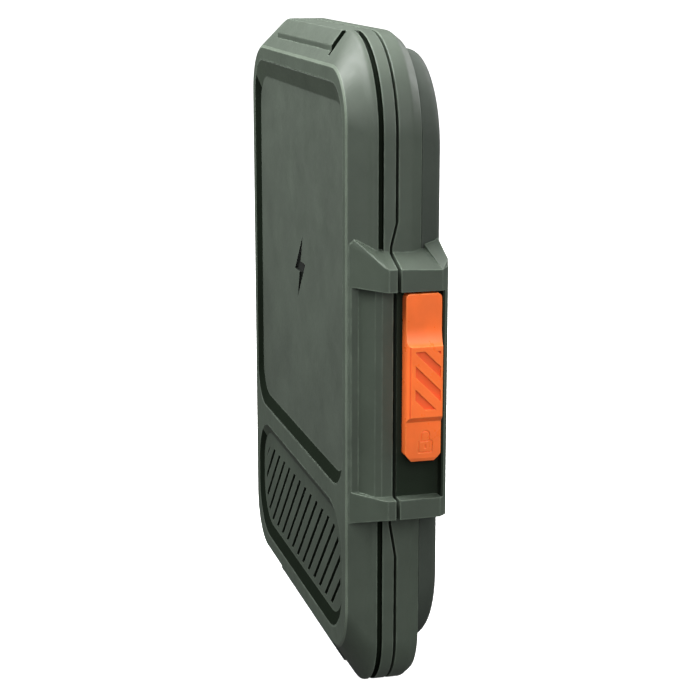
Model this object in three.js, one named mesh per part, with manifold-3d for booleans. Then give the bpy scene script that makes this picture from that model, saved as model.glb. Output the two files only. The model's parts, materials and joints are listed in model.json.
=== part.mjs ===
// Rugged magnetic power bank: a slim case of two shells, hinged along one long side and held shut by a
// sliding lock on the other. The front shell is a lid over the battery, the rear shell carries the
// electronics, and a soft pad on its back hides the wireless coil and the ring of magnets.
//
// Millimetres. X runs across the width, from the hinge (-X) to the lock (+X). Y runs through the
// thickness, from the lid's face (-Y) to the phone side (+Y). Z is up, and the case stands on z = 0.
// The plane y = 0 is the seam between the shells. Pieces are drawn about the case's middle plane, and the
// finished group is shifted in X so that the origin is the centre of the bounding box's foot.
import * as THREE from "three";
import { ConvexGeometry } from "three/addons/geometries/ConvexGeometry.js";
import { mergeVertices } from "three/addons/utils/BufferGeometryUtils.js";
import Module from "manifold-3d";

const wasm = await Module();
wasm.setup();

// ---- Driving dimensions -----------------------------------------------------------------------------

const CLEAR = 0.3; // gap between neighbouring pieces
const HALF_SEAM = 0.15; // each shell stops this far from the seam plane
const HEIGHT = 97.5;
const WIDTH = 64.8;
const FRONT_Y = -7.15; // face of the lid
const PAD_BACK_Y = 7.15; // face that meets the phone
const LATCH_FACE_X = 36.9; // outer face of the lock housing
const LATCH_REACH = 37.9; // thumb ridge of the slider
const FLOOR_Y = [2.85, 3.85]; // rear shell's floor
const BAY_FRONT_Y = -5.0; // inner face of the lid
const CORNER_STEPS = 7;

// Sections of the case, front to back: half width, lower and upper end, radius of the lower and of the
// upper corners.
const CASE_SECTIONS = [
  { y: FRONT_Y, half: 30.7, low: 5.85, high: 92.55, radii: [7.7, 7.7] },
  { y: -6.9, half: 31.0, low: 5.45, high: 92.95, radii: [8, 8] },
  { y: -4.15, half: 31.9, low: 1.15, high: 96.65, radii: [9, 13] },
  { y: -3.4, half: 32.3, low: 0, high: HEIGHT, radii: [9, 14] },
  { y: 2.3, half: WIDTH / 2, low: 0, high: HEIGHT, radii: [9, 14] },
  { y: FLOOR_Y[1], half: 31.5, low: 0.8, high: 96.3, radii: [8.7, 13.5] },
];
const BAY_SECTIONS = [
  { y: BAY_FRONT_Y, half: 28.9, low: 4.5, high: 93.1, radii: [8, 9] },
  { y: -2.5, half: 29.9, low: 2.6, high: 95.0, radii: [8.5, 11.5] },
  { y: FLOOR_Y[0], half: 30, low: 2.3, high: 95.1, radii: [9, 12] },
];
const PAD_SECTIONS = [
  { y: FLOOR_Y[1] + CLEAR, half: 31.2, low: 4.1, high: 95.0, radii: [12.5, 12.5] },
  { y: 5.9, half: 30.9, low: 4.6, high: 94.7, radii: [12.6, 12.5] },
  { y: 6.7, half: 30.45, low: 5.2, high: 94.2, radii: [12.6, 12.5] },
  { y: PAD_BACK_Y, half: 29.6, low: 6.1, high: 93.3, radii: [12, 12] },
];

const GROOVE_Y = [-2.7, -1.95]; // shadow groove round the lid
const GROOVE_DEPTH = 0.9;
const PANEL = { half: 29.25, low: 31.15, high: 90.6, radii: [6, 6] };
const PANEL_FLOOR = { half: 27.9, low: 33.05, high: 87.75, radii: [5, 5] };
const GRIP = { half: 28.85, low: 8.0, high: 28.15, radii: [8, 8] };
const GRIP_FLOOR = { half: 27.2, low: 10.2, high: 26.6, radii: [6.5, 6.5] };
const INLAY_Y = [-7.05, -5.95]; // both inlays, front edge to back
const PANEL_FLOOR_Y = -6.35;
const GRIP_FLOOR_Y = -6.55;
const RIB = { pitch: 3.755, width: 0.8, first: -22.8, count: 18, low: 11, high: 24.3, depth: 0.35 };
const TAB_HALF = 17.5; // raised tab on both end bevels, and the socket panel below

const HINGE_X = -33.2;
const KNUCKLE = { outer: 1.9, bore: 1.1, relief: 2.2, first: 24.2, pitch: 10, count: 5 };
const HINGE_SPAN = [KNUCKLE.first, KNUCKLE.first + KNUCKLE.count * KNUCKLE.pitch - CLEAR];
const PIN_RADIUS = 0.8;

const CHANNEL_Z = [32.0, 62.3]; // lock channel between the housing's two bands
const CHANNEL_FLOOR_X = 34.8;
const SEAM_STEP = { depth: 0.85, from: [22, 71.5], full: [27, 68] }; // seam's step at the housing
const SLIDER = { y: [0.05, 5.3], z: [37.6, 62.0], base: CHANNEL_FLOOR_X + CLEAR };
const LOCK_TRAVEL = 5.5;
const LEG_Y = [1.4, 2.3];
const LEGS_Z = [[53, 55.5], [46, 48.5]];
const HOOK_X = [28.2, 29.0];
const HOOK_ARMS_Z = [[55.8, 58.3], [42.8, 45.3]];
const HOOK_DROP = 2.6; // how far a hook's nose hangs below its arm
const HOOK_NOSE_Y = [-3.4, -2.5];
const CATCH_Y = [-2.2, -1.3];
const CATCH_HEIGHT = 4;

const PORT = { x: 0, y: 0.75, width: 8.94, height: 3.26, z: [0.5, 8.0], wall: 0.35 };
const BUTTON = { x: 12, y: 0.75, width: 5, height: 1.8 };
const LIGHT = { x: -12, y: 0.75, width: 6, height: 0.9 };
const BOARD = { half: 25, y: [1.3, 2.1], z: [5, 19] };
const BOARD_SCREWS_X = [-21.5, 21.5];
const CELL = { x: [-27, 25.2], y: [-3.9, 2.4], z: [26, 92] };
const RING = { z: 52, inner: 23.4, outer: 26.9, magnets: 12, y: [4.45, 5.5] };
const PAD_POCKET_Y = 5.8;

// ---- Materials --------------------------------------------------------------------------------------

const standard = (color, roughness, metalness = 0) =>
  new THREE.MeshStandardMaterial({ color, roughness, metalness });
const MATERIAL = {
  case: standard(0x4a5249, 0.55),
  panel: standard(0x4c544b, 0.75),
  grip: standard(0x3f463e, 0.6),
  pad: standard(0x3d433d, 0.8),
  lock: standard(0xfa6a2c, 0.4),
  steel: standard(0xa9adb0, 0.3, 1),
  magnet: standard(0xb9bcc0, 0.25, 1),
  copper: standard(0xb5703c, 0.35, 1),
  gold: standard(0xc9a24a, 0.3, 1),
  ferrite: standard(0x2a2a2c, 0.7),
  board: standard(0x1f4a33, 0.5),
  chip: standard(0x1b1c1e, 0.45),
  foil: standard(0x9fa3a6, 0.35, 0.6),
  foam: standard(0x26282a, 0.95),
  ribbon: standard(0xd8d8d2, 0.8),
  clear: standard(0xdfe6e8, 0.15),
};

// ---- Shape helpers ----------------------------------------------------------------------------------

// A closed three.js geometry as a manifold-3d solid.
function solid(geometry) {
  geometry.deleteAttribute("normal");
  geometry.deleteAttribute("uv");
  const merged = mergeVertices(geometry, 1e-5);
  const vertProperties = new Float32Array(merged.attributes.position.array);
  const triVerts = new Uint32Array(merged.index.array);
  return new wasm.Manifold(new wasm.Mesh({ numProp: 3, vertProperties, triVerts }));
}

const box = ([x0, x1], [y0, y1], [z0, z1]) =>
  solid(
    new THREE.BoxGeometry(x1 - x0, y1 - y0, z1 - z0).translate(
      (x0 + x1) / 2,
      (y0 + y1) / 2,
      (z0 + z1) / 2,
    ),
  );

const hull = (points) => solid(new ConvexGeometry(points.map((p) => new THREE.Vector3(...p))));

const union = (solids) => solids.reduce((a, b) => a.add(b));

// Outline of a rectangle with round corners, as points that run anticlockwise. The lower corners can
// have a radius of their own.
function rounded(cx, cy, width, height, radius, steps = 4, lowRadius = radius) {
  const corners = [[1, 1, radius], [-1, 1, radius], [-1, -1, lowRadius], [1, -1, lowRadius]];
  return corners.flatMap(([sx, sy, r], quarter) =>
    Array.from({ length: steps + 1 }, (_, i) => {
      const angle = ((quarter + i / steps) * Math.PI) / 2;
      return [
        cx + sx * (width / 2 - r) + r * Math.cos(angle),
        cy + sy * (height / 2 - r) + r * Math.sin(angle),
      ];
    }),
  );
}

const circle = (radius, cx = 0, cy = 0, steps = 24) =>
  Array.from({ length: steps }, (_, i) => {
    const angle = (i / steps) * 2 * Math.PI;
    return [cx + radius * Math.cos(angle), cy + radius * Math.sin(angle)];
  });

// A straight prism along an axis. Its outline is in the other two axes, in X, Y, Z order.
const PRISM_BASIS = {
  x: [new THREE.Vector3(0, 1, 0), new THREE.Vector3(0, 0, 1), new THREE.Vector3(1, 0, 0)],
  y: [new THREE.Vector3(1, 0, 0), new THREE.Vector3(0, 0, 1), new THREE.Vector3(0, -1, 0)],
  z: [new THREE.Vector3(1, 0, 0), new THREE.Vector3(0, 1, 0), new THREE.Vector3(0, 0, 1)],
};
function prism(axis, outline, [low, high], hole = null) {
  const shape = new THREE.Shape(outline.map(([u, v]) => new THREE.Vector2(u, v)));
  if (hole) shape.holes.push(new THREE.Path(hole.map(([u, v]) => new THREE.Vector2(u, v))));
  const geometry = new THREE.ExtrudeGeometry(shape, { depth: high - low, bevelEnabled: false });
  geometry.applyMatrix4(new THREE.Matrix4().makeBasis(...PRISM_BASIS[axis]));
  const offset = { x: [low, 0, 0], y: [0, high, 0], z: [0, 0, low] }[axis];
  return solid(geometry.translate(...offset));
}

// A solid through rounded rectangles that stand in XZ planes, front to back.
function loft(sections) {
  const rings = sections.map(({ y, half, low, high, radii: [lower, upper] }) => {
    const outline = rounded(0, (low + high) / 2, 2 * half, high - low, upper, CORNER_STEPS, lower);
    return outline.map(([x, z]) => [x, y, z]);
  });
  const count = rings[0].length;
  const last = (rings.length - 1) * count;
  const index = [];
  for (let ring = 0; ring < rings.length - 1; ring++)
    for (let i = 0; i < count; i++) {
      const a = ring * count + i;
      const b = ring * count + ((i + 1) % count);
      index.push(a, a + count, b, b, a + count, b + count);
    }
  for (let i = 1; i < count - 1; i++) {
    index.push(0, i, i + 1);
    index.push(last, last + i + 1, last + i);
  }
  const geometry = new THREE.BufferGeometry();
  geometry.setAttribute("position", new THREE.Float32BufferAttribute(rings.flat(2), 3));
  return solid(geometry.setIndex(index));
}

const outset = ({ half, low, high, radii, ...rest }, by) => ({
  ...rest,
  half: half + by,
  low: low - by,
  high: high + by,
  radii: radii.map((radius) => radius + by),
});
const grown = (sections, by) => sections.map((section) => outset(section, by));

// Puts a solid into a group as a named mesh.
function add(group, name, shape, material) {
  const { vertProperties, triVerts } = shape.getMesh();
  const geometry = new THREE.BufferGeometry();
  geometry.setAttribute("position", new THREE.BufferAttribute(vertProperties, 3));
  geometry.setIndex(new THREE.BufferAttribute(triVerts, 1));
  geometry.computeVertexNormals();
  const mesh = new THREE.Mesh(geometry, material);
  mesh.name = name;
  group.add(mesh);
  return mesh;
}

// ---- The case, before it is parted into lid and tray --------------------------------------------------

// Raised tab on an end bevel, with a narrow slot at its lock end: a profile in Y and Z.
const END_TABS = [
  {
    raised: [[-5.75, 94], [-5.75, 95.3], [-4.1, HEIGHT], [-3, HEIGHT], [-3, 94]],
    slot: [[-6.6, 94.4], [-4.6, 98.6], [-3.4, 98.6], [-3.4, 96.2], [-5.6, 93.2]],
  },
  {
    raised: [[-5.9, 4.5], [-5.9, 3.45], [-3.8, 0], [-3, 0], [-3, 4.5]],
    slot: [[-6.6, 3.9], [-4.6, -1], [-3.4, -1], [-3.4, 1.3], [-5.7, 4.6]],
  },
];

// The housing of the lock: a block on the lock side, with a ramp towards the lid's face.
function latchHousing() {
  const block = hull([
    [LATCH_FACE_X, -2.4, 29.1], [LATCH_FACE_X, 5.4, 29.1], [35.9, 6.5, 29.1],
    [LATCH_FACE_X, -2.4, 65.6], [LATCH_FACE_X, 5.4, 65.3], [35.9, 6.5, 65.7],
    [30.9, -2.4, 27.6], [30.9, 6.5, 27.6], [30.9, -2.4, 67.9], [30.9, 6.5, 67.6],
  ]);
  const ramp = hull([
    [LATCH_FACE_X, -2.4, 29.1], [LATCH_FACE_X, -2.4, 65.6], [36.4, -3.0, 29.0], [36.4, -3.0, 65.9],
    [31.1, -6.75, 27.2], [31.1, -6.75, 68.3], [31.5, -6.1, 69.2], [30.9, -2.4, 27.6], [30.9, -2.4, 67.9],
  ]);
  const gusset = hull([
    [35.7, 6.5, 66.6], [LATCH_FACE_X, 5.4, 65.3], [30.9, 6.5, 68.8], [30.9, 4.2, 68.3],
    [35.9, 6.5, 60], [LATCH_FACE_X, 5.4, 60], [30.9, 6.5, 60], [30.9, 4.2, 60],
  ]);
  const channel = prism(
    "z",
    [
      [31.5, -8], [31.5, -5.4], [34.3, -3.7], [CHANNEL_FLOOR_X, -2.8], [CHANNEL_FLOOR_X, 5.6],
      [36.45, 5.6], [36.45, 8], [40, 8], [40, -8],
    ],
    CHANNEL_Z,
  );
  const springPocket = box([34.0, 35], [3.5, 4.9], [45.5, 57.5]);
  return union([block, ramp, gusset]).subtract(channel).subtract(springPocket);
}

// Slit in the wall that the slider's legs pass through.
const legSlit = () =>
  box([28, 36], [LEG_Y[0] - CLEAR, LEG_Y[1] + CLEAR], [LEGS_Z[1][0] - LOCK_TRAVEL - CLEAR, 55.8]);

function caseBlank() {
  const grooveBand = [{ ...CASE_SECTIONS[3], y: GROOVE_Y[0] }, { ...CASE_SECTIONS[3], y: GROOVE_Y[1] }];
  const groove = loft(grown(grooveBand, 1))
    .subtract(loft(grown(grooveBand, -GROOVE_DEPTH)))
    .subtract(box([-TAB_HALF - 1.5, TAB_HALF + 1.5], [-4, 0], [-2, HEIGHT + 2]));
  const raised = END_TABS.map((tab) => prism("x", tab.raised, [-TAB_HALF, TAB_HALF]));
  const slots = END_TABS.map((tab) => prism("x", tab.slot, [TAB_HALF, TAB_HALF + 0.8]));
  return union([loft(CASE_SECTIONS), ...raised])
    .subtract(union(slots))
    .subtract(groove)
    .add(latchHousing())
    .subtract(loft(BAY_SECTIONS))
    .subtract(legSlit())
    .subtract(loft(grown(PAD_SECTIONS, CLEAR)));
}

// What the rear shell takes beyond the seam: the step at the lock housing and the socket panel below.
function acrossSeam(side) {
  const edge = side * HALF_SEAM;
  const { depth, from, full } = SEAM_STEP;
  const step = prism(
    "x",
    [
      [1, from[1] + 3], [edge, from[1]], [edge - depth, full[1]],
      [edge - depth, full[0]], [edge, from[0]], [1, from[0] - 3],
    ],
    [29.5, 40],
  );
  const margin = side < 0 ? CLEAR : 0;
  const sockets = box([-TAB_HALF - margin, TAB_HALF + margin], [-2.4 - margin, 1], [-1, 3.5]);
  return step.add(sockets);
}

// ---- Hinge ------------------------------------------------------------------------------------------

const knuckleSpan = (k) => {
  const low = KNUCKLE.first + k * KNUCKLE.pitch;
  return [low, low + KNUCKLE.pitch - CLEAR];
};
const knuckles = (parity) =>
  Array.from({ length: KNUCKLE.count }, (_, k) => k).filter((k) => k % 2 === parity);

// Barrels that belong to one shell, each with an arm to that shell's side wall.
function barrels(parity, side) {
  return union(
    knuckles(parity).map((k) => {
      const arm = [-31.7, -32.2].map((x, i) => [x, side * (i ? 2.9 : 0.25)]);
      const points = [...circle(KNUCKLE.outer, HINGE_X, 0, 20), ...arm];
      const [low, high] = knuckleSpan(k);
      return hull([low, high].flatMap((z) => points.map(([x, y]) => [x, y, z])));
    }),
  );
}
const relief = (parity) =>
  union(
    knuckles(parity).map((k) => {
      const [low, high] = knuckleSpan(k);
      return prism("z", circle(KNUCKLE.relief, HINGE_X, 0, 20), [low - CLEAR, high + CLEAR]);
    }),
  );
const hingeBore = prism("z", circle(KNUCKLE.bore, HINGE_X, 0, 16), [HINGE_SPAN[0] - 1, HINGE_SPAN[1] + 1]);

// ---- Lid ----------------------------------------------------------------------------------------------

function frontCover(blank) {
  const half = box([-50, 50], [-20, -HALF_SEAM], [-10, 110]);
  const pocket = (inlay) => {
    const section = outset(inlay, CLEAR);
    return loft([{ ...section, y: -8 }, { ...section, y: INLAY_Y[1] + CLEAR }]);
  };
  // Two catches on the lock side, which the hooks pass when open and reach behind when locked.
  const catches = HOOK_ARMS_Z.map(([armLow]) => {
    const top = armLow - LOCK_TRAVEL - CLEAR;
    return box([27.6, 30.3], CATCH_Y, [top - CATCH_HEIGHT, top]);
  });
  return blank
    .intersect(half)
    .subtract(acrossSeam(-1))
    .subtract(pocket(PANEL))
    .subtract(pocket(GRIP))
    .subtract(relief(1))
    .add(union(catches))
    .add(barrels(0, -1))
    .subtract(hingeBore);
}

// A plate that fills its pocket in the lid and dips from a narrow rim to a lower floor.
function inlay(outer, floor, floorY) {
  const plate = loft([{ ...outer, y: INLAY_Y[0] }, { ...outer, y: INLAY_Y[1] }]);
  const dish = loft([
    { ...outset(outer, -0.15), y: INLAY_Y[0] - 0.1 },
    { ...floor, y: floorY },
  ]);
  return plate.subtract(dish);
}

// Generic charging bolt, sunk in the middle of the lid.
function boltMark() {
  const outline = [[1.6, 64.8], [-3.6, 58.9], [-0.5, 58.9], [-1.8, 54.6], [3.4, 60.6], [0.3, 60.6]];
  return prism("y", outline, [PANEL_FLOOR_Y - 1, PANEL_FLOOR_Y + 0.2]);
}

// Diagonal grooves, kept clear of the floor's edge.
function gripGrooves() {
  const { pitch, width, first, count, low, high, depth } = RIB;
  const reach = (high - low) / 2 + 2;
  const across = width / Math.SQRT2;
  const floorY = GRIP_FLOOR_Y;
  const bars = Array.from({ length: count }, (_, k) => {
    const x = first + k * pitch - (high - low) / 2;
    const z = (low + high) / 2;
    const outline = [
      [x - reach - across / 2, z - reach + across / 2], [x - reach + across / 2, z - reach - across / 2],
      [x + reach + across / 2, z + reach - across / 2], [x + reach - across / 2, z + reach + across / 2],
    ];
    return prism("y", outline, [floorY - 1, floorY + depth]);
  });
  const field = { half: 25.6, low, high, radii: [5, 5] };
  return union(bars).intersect(loft([{ ...field, y: floorY - 2 }, { ...field, y: floorY + 1 }]));
}

// ---- Rear shell -----------------------------------------------------------------------------------------

function rearShell(blank) {
  const half = box([-50, 50], [HALF_SEAM, 20], [-10, 110]);
  const through = (outline) => prism("z", outline, [-1, 3.4]);
  const hole = ({ x, y, width, height }) =>
    through(rounded(x, y, width + 2 * CLEAR, height + 2 * CLEAR, height / 2 + CLEAR - 0.01));
  const bosses = BOARD_SCREWS_X.map((x) => prism("y", circle(2, x, 12, 16), [2.4, 3.4]));
  const screwHoles = BOARD_SCREWS_X.map((x) => prism("y", circle(0.8, x, 12, 12), [2, 3.45]));
  return blank
    .intersect(half.add(acrossSeam(1)))
    .subtract(relief(0))
    .add(barrels(1, 1))
    .subtract(hingeBore)
    .subtract(union([hole(PORT), hole(BUTTON), hole(LIGHT)]))
    .add(union(bosses))
    .subtract(union(screwHoles));
}

function rearPad() {
  const ringPocket = prism("y", circle(RING.outer + 0.5, 0, RING.z, 48), [4, PAD_POCKET_Y]);
  const barPocket = prism("y", rounded(0, 16.2, 6.4, 13.6, 1), [4, PAD_POCKET_Y]);
  const ring = (radius) => circle(radius, 0, RING.z, 64);
  const mark = prism("y", ring(28), [PAD_BACK_Y - 0.25, PAD_BACK_Y + 1], ring(27.4));
  return loft(PAD_SECTIONS).subtract(ringPocket).subtract(barPocket).subtract(mark);
}

// ---- Lock -----------------------------------------------------------------------------------------------

function lockSlider() {
  const { y, z, base } = SLIDER;
  const steps = 4;
  const ramp = Array.from({ length: steps + 1 }, (_, i) => {
    const angle = (i / steps) * (Math.PI / 2);
    return [LATCH_REACH - 0.95 * Math.sin(angle), 57.3 - 2.7 * Math.cos(angle)];
  });
  const profile = [
    [base, z[0]], [36.7, z[0]], [36.95, 38.2], [36.95, 43.6], [LATCH_REACH, 44.4], ...ramp,
    [36.95, 61.7], [36.6, z[1]], [base, z[1]],
  ];
  const plan = [
    [y[0], 38.6], [y[0] + 0.9, z[0]], [y[1] - 0.9, z[0]], [y[1], 38.6],
    [y[1], 61.3], [y[1] - 0.7, z[1]], [y[0] + 0.7, z[1]], [y[0], 61.3],
  ];
  const end = [
    [34, y[0]], [LATCH_FACE_X, y[0] + 0.05], [37.55, 0.4], [38, 1.1], [38, 5.15], [37.2, y[1]], [34, y[1]],
  ];
  const legs = LEGS_Z.map(([low, high], i) => {
    const barb = i === 0 ? [low, high + 0.9] : [low - 0.9, high];
    return box([27.2, base + 0.2], LEG_Y, [low, high]).add(box([27.2, HOOK_X[0] - CLEAR], LEG_Y, barb));
  });
  return prism("y", profile, y)
    .intersect(prism("x", plan, [30, 40]))
    .intersect(prism("z", end, [30, 70]))
    .subtract(hatchMarks())
    .subtract(padlockMark())
    .add(union(legs));
}

// Diagonal grooves in the thumb ridge.
function hatchMarks() {
  const pitch = 3.4;
  const bars = Array.from({ length: 4 }, (_, k) => {
    const top = 57.3 - pitch * k;
    return prism("x", [[1, top], [6, top - 5], [6, top - 3.4], [1, top + 1.6]], [37.55, 39]);
  });
  return union(bars).intersect(box([37, 40], [1.2, 4.95], [45.4, 53.9]));
}

// A padlock's outline, cut into the slider's lower flat.
function padlockMark() {
  const depth = [36.8, 39];
  const body = prism("x", rounded(3, 39.8, 2.2, 1.9, 0.25), depth, rounded(3, 39.8, 1.7, 1.4, 0.15));
  const shackle = prism("x", rounded(3, 41, 1.4, 2.4, 0.65), depth, rounded(3, 41, 0.9, 1.9, 0.4));
  return body.add(shackle.intersect(box([36, 40], [0, 6], [40.7, 43])));
}

// Steel plate inside the wall. It holds the slider in its slit and carries both hooks.
function hookPlate() {
  const strip = box(HOOK_X, [-0.4, 2.5], [40.2, 58.3]);
  const hooks = HOOK_ARMS_Z.map(([low, high]) =>
    box(HOOK_X, [HOOK_NOSE_Y[0], 0], [low, high]).add(box(HOOK_X, HOOK_NOSE_Y, [low - HOOK_DROP, high])),
  );
  const notches = LEGS_Z.map(([low, high]) =>
    box([27, 30], [LEG_Y[0] - CLEAR, 3], [low - CLEAR, high + CLEAR]),
  );
  return union([strip, ...hooks]).subtract(union(notches));
}

// Leaf spring under the slider, bowed towards it.
function detentSpring() {
  const bow = (x) => [[x, 46.5], [x, 48.5], [x + 0.35, 51.5], [x, 54.5], [x, 56.5]];
  const outline = [...bow(34.3), ...bow(34.15).reverse()];
  return prism("y", outline, [3.8, 4.6]);
}

// ---- Electronics and battery ------------------------------------------------------------------------------

function portShell() {
  const { x, y, width, height, z, wall } = PORT;
  const inner = rounded(x, y, width - 2 * wall, height - 2 * wall, height / 2 - wall - 0.01);
  return prism("z", rounded(x, y, width, height, height / 2 - 0.01), z).subtract(
    prism("z", inner, [z[0] - 1, z[1] - 0.8]),
  );
}

function mainBoard() {
  const { half, y, z } = BOARD;
  const outline = rounded(0, (z[0] + z[1]) / 2, 2 * half, z[1] - z[0], 1);
  const portCut = box([-PORT.width / 2 - CLEAR, PORT.width / 2 + CLEAR], [0, 3], [0, PORT.z[1] + CLEAR]);
  const holes = BOARD_SCREWS_X.map((x) => prism("y", circle(0.8, x, 12, 12), [0, 4]));
  return prism("y", outline, y).subtract(portCut).subtract(union(holes));
}

function powerButton() {
  const { x, y, width, height } = BUTTON;
  const cap = prism("z", rounded(x, y, width, height, height / 2 - 0.01), [0.25, 2.9]);
  return cap.add(prism("z", rounded(x, y, width + 1.2, height + 0.9, 1), [2.7, 3.4]));
}

function lightGuide() {
  const { x, y, width, height } = LIGHT;
  const bar = prism("z", rounded(x, y, width, height, height / 2 - 0.01), [0.2, 4.7]);
  return bar.add(box([x - 3.6, x + 3.6], [y - 0.9, y + 0.9], [2.7, 3.3]));
}

// One magnet of the ring, centred on the +X direction.
function ringMagnet() {
  const spread = (Math.PI / RING.magnets) * 0.86;
  const steps = 4;
  const arc = (radius, from, to) =>
    Array.from({ length: steps + 1 }, (_, i) => {
      const angle = from + ((to - from) * i) / steps;
      return [radius * Math.cos(angle), radius * Math.sin(angle)];
    });
  return prism("y", [...arc(RING.outer, -spread, spread), ...arc(RING.inner, spread, -spread)], RING.y);
}

function boardScrew() {
  const head = prism("y", circle(1.3, 0, 0, 14), [0.2, 1.0]).subtract(
    box([-0.15, 0.15], [-1, 0.5], [-0.9, 0.9]).add(box([-0.9, 0.9], [-1, 0.5], [-0.15, 0.15])),
  );
  return head.add(prism("y", circle(0.5, 0, 0, 10), [0.9, 3.1]));
}

function batteryCell() {
  const { x, y, z } = CELL;
  const centre = [(x[0] + x[1]) / 2, (z[0] + z[1]) / 2];
  const size = [x[1] - x[0], z[1] - z[0]];
  const layer = (inset, span) =>
    prism("y", rounded(...centre, size[0] - 2 * inset, size[1] - 2 * inset, 2.5 - inset), span);
  return union([
    layer(0, [y[0] + 0.8, y[1] - 0.8]),
    layer(0.35, [y[0] + 0.3, y[1] - 0.3]),
    layer(0.8, y),
  ]);
}

// ---- Assembly -----------------------------------------------------------------------------------------------

const model = new THREE.Group();
const [cover, tray, lock] = Array.from({ length: 3 }, () => new THREE.Group());
model.add(cover, tray, lock);

const blank = caseBlank();
add(cover, "front_cover", frontCover(blank), MATERIAL.case);
add(cover, "front_panel", inlay(PANEL, PANEL_FLOOR, PANEL_FLOOR_Y).subtract(boltMark()), MATERIAL.panel);
add(cover, "grip_panel", inlay(GRIP, GRIP_FLOOR, GRIP_FLOOR_Y).subtract(gripGrooves()), MATERIAL.grip);
add(cover, "cover_foam", prism("y", rounded(-1, 59, 44, 56, 3), [-4.7, -4.2]), MATERIAL.foam);

add(tray, "rear_shell", rearShell(blank), MATERIAL.case);
add(tray, "rear_pad", rearPad(), MATERIAL.pad);
add(tray, "hinge_pin", prism("z", circle(PIN_RADIUS, HINGE_X, 0, 16), HINGE_SPAN), MATERIAL.steel);
add(tray, "detent_spring", detentSpring(), MATERIAL.steel);

const padFloor = FLOOR_Y[1] + CLEAR;
const shield = prism("y", circle(22.4, 0, RING.z, 40), [padFloor, padFloor + 0.35]);
add(tray, "ferrite_shield", shield, MATERIAL.ferrite);
const coil = prism("y", circle(21.5, 0, RING.z, 40), [4.8, 5.5], circle(10.5, 0, RING.z, 28));
add(tray, "charging_coil", coil, MATERIAL.copper);
for (let i = 0; i < RING.magnets; i++) {
  const name = `ring_magnet_${String(i + 1).padStart(2, "0")}`;
  const magnet = add(tray, name, ringMagnet(), MATERIAL.magnet);
  magnet.position.z = RING.z;
  magnet.rotation.y = (-i * 2 * Math.PI) / RING.magnets;
}
add(tray, "alignment_magnet", prism("y", rounded(0, 16.2, 5.4, 12.6, 0.5), RING.y), MATERIAL.magnet);

add(tray, "main_board", mainBoard(), MATERIAL.board);
BOARD_SCREWS_X.forEach((x, i) => {
  const screw = add(tray, `board_screw_${i + 1}`, boardScrew(), MATERIAL.steel);
  screw.position.set(x, 0, 12);
});
add(tray, "charge_controller", box([-15.5, -9.5], [0.1, 1.0], [10.5, 16.5]), MATERIAL.chip);
add(tray, "wireless_driver", box([13, 17.5], [0.1, 1.0], [11.5, 16]), MATERIAL.chip);
add(tray, "power_inductor", prism("y", rounded(9, 13.5, 5, 5, 0.8), [-1.6, 1.0]), MATERIAL.ferrite);
add(tray, "output_capacitor", prism("y", rounded(-5.5, 14, 3.6, 2.2, 0.2), [-0.8, 1.0]), MATERIAL.chip);
add(tray, "usb_port_shell", portShell(), MATERIAL.steel);
add(tray, "usb_port_tongue", box([-3.3, 3.3], [0.4, 1.1], [1.2, 6.9]), MATERIAL.chip);
const plunger = box([11, 13], [0.2, 0.9], [4.1, 5.6]);
add(tray, "button_switch", box([10, 14], [-0.9, 1.0], [5.4, 8.2]).add(plunger), MATERIAL.chip);
add(tray, "light_guide", lightGuide(), MATERIAL.clear);
for (let i = 0; i < 4; i++) {
  const led = add(tray, `status_led_${i + 1}`, box([-0.5, 0.5], [0.2, 1.0], [5, 5.9]), MATERIAL.clear);
  led.position.x = LIGHT.x - 2.25 + 1.5 * i;
}
add(tray, "contact_block", box([-8, 8], [-1.4, 1.0], [16.6, 18.6]), MATERIAL.chip);
[-5, 0, 5].forEach((x, i) => {
  const pin = prism("z", circle(0.6, 0, -0.4, 12), [18.9, 21.2]);
  add(tray, `contact_pin_${i + 1}`, pin, MATERIAL.gold).position.x = x;
});

add(tray, "battery_cell", batteryCell(), MATERIAL.foil);
add(tray, "battery_board", box([-14, 14], [-1.4, 0.2], [22.3, 25.6]), MATERIAL.board);
[-5, 0, 5].forEach((x, i) => {
  const pad = add(tray, `battery_contact_${i + 1}`, box([-1.2, 1.2], [-1.2, 0.2], [21.5, 22]), MATERIAL.gold);
  pad.position.x = x;
});
const ribbon = prism(
  "x",
  [[-3.4, 92.3], [1.6, 92.3], [1.6, 92.7], [-2.9, 92.7], [-2.9, 93.9], [-3.4, 93.9]],
  [-7, 5],
);
add(tray, "pull_tab", ribbon, MATERIAL.ribbon);

add(lock, "lock_slider", lockSlider(), MATERIAL.lock);
add(lock, "hook_plate", hookPlate(), MATERIAL.steel);
add(model, "power_button", powerButton(), MATERIAL.case);

const hingeReach = KNUCKLE.outer - HINGE_X;
model.position.x = (hingeReach - LATCH_REACH) / 2;

export default model;
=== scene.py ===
"""Looks of the magnetic power bank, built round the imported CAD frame.

Shapes are drawn in millimetres in the case's own frame: X from the hinge to the lock, Y from the lid's
face to the phone side, Z up, the seam between the shells at y = 0 and the case's middle plane at x = 0.
piece() scales each shape to metres and moves it to the row frame.
"""

import json
import math
import random

import bmesh
import bpy
from mathutils import Matrix, Vector


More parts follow.
